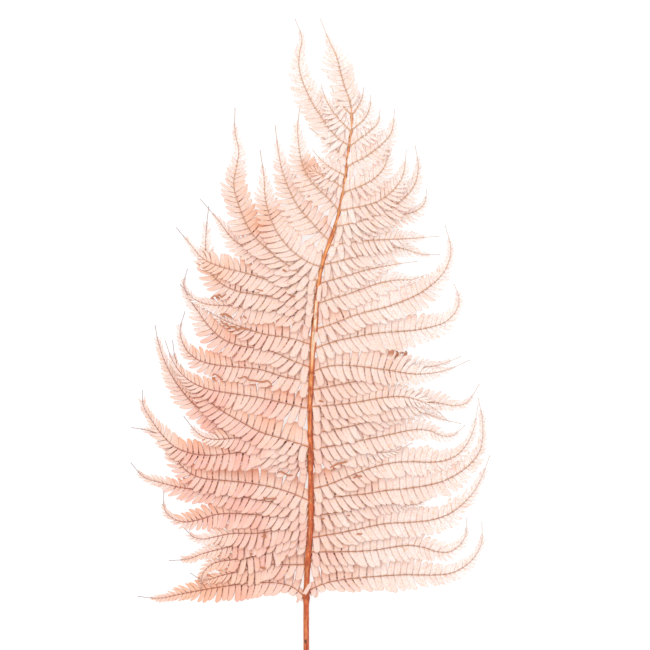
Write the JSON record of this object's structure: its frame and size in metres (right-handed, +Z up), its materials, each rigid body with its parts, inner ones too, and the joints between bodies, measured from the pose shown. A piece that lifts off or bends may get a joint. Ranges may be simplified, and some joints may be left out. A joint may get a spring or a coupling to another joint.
{
  "type": "preserved fern frond",
  "caption": "Blush-pink preserved fern frond, twice divided and feathery, with an orange stalk, lying flat to be laid, tied into an arrangement or hung as decor.",
  "frame": {"origin": "under the middle of the frond's box, on the surface that it lies on", "axes": "+Y along the stalk from the cut end to the frond's tip, +X to the right as seen from above, +Z up from the surface through the frond's upper face"},
  "size_m": [0.2884, 0.5512, 0.0162],
  "materials": {
    "leaf": "matte, dyed and dried leaf",
    "stalk": "satin, fibrous stalk"
  },
  "bodies": {
    "root": {"frond_tip": "leaf", "left_pinna_01": "leaf", "left_pinna_02": "leaf", "left_pinna_03": "leaf", "left_pinna_04": "leaf", "left_pinna_05": "leaf", "left_pinna_06": "leaf", "left_pinna_07": "leaf", "left_pinna_08": "leaf", "left_pinna_09": "leaf", "left_pinna_10": "leaf", "left_pinna_11": "leaf", "left_pinna_12": "leaf", "left_pinna_13": "leaf", "left_pinna_14": "leaf", "left_pinna_15": "leaf", "left_pinna_16": "leaf", "left_pinna_17": "leaf", "left_pinna_18": "leaf", "left_pinna_19": "leaf", "left_pinna_20": "leaf", "left_pinna_21": "leaf", "left_pinna_22": "leaf", "left_pinna_23": "leaf", "left_pinna_24": "leaf", "left_pinna_25": "leaf", "left_pinna_26": "leaf", "left_pinna_27": "leaf", "left_pinna_28": "leaf", "left_pinna_29": "leaf", "left_pinna_30": "leaf", "right_pinna_01": "leaf", "right_pinna_02": "leaf", "right_pinna_03": "leaf", "right_pinna_04": "leaf", "right_pinna_05": "leaf", "right_pinna_06": "leaf", "right_pinna_07": "leaf", "right_pinna_08": "leaf", "right_pinna_09": "leaf", "right_pinna_10": "leaf", "right_pinna_11": "leaf", "right_pinna_12": "leaf", "right_pinna_13": "leaf", "right_pinna_14": "leaf", "right_pinna_15": "leaf", "right_pinna_16": "leaf", "right_pinna_17": "leaf", "right_pinna_18": "leaf", "right_pinna_19": "leaf", "right_pinna_20": "leaf", "right_pinna_21": "leaf", "right_pinna_22": "leaf", "right_pinna_23": "leaf", "right_pinna_24": "leaf", "right_pinna_25": "leaf", "right_pinna_26": "leaf", "right_pinna_27": "leaf", "right_pinna_28": "leaf", "stalk": "stalk"}
  },
  "joints": []
}
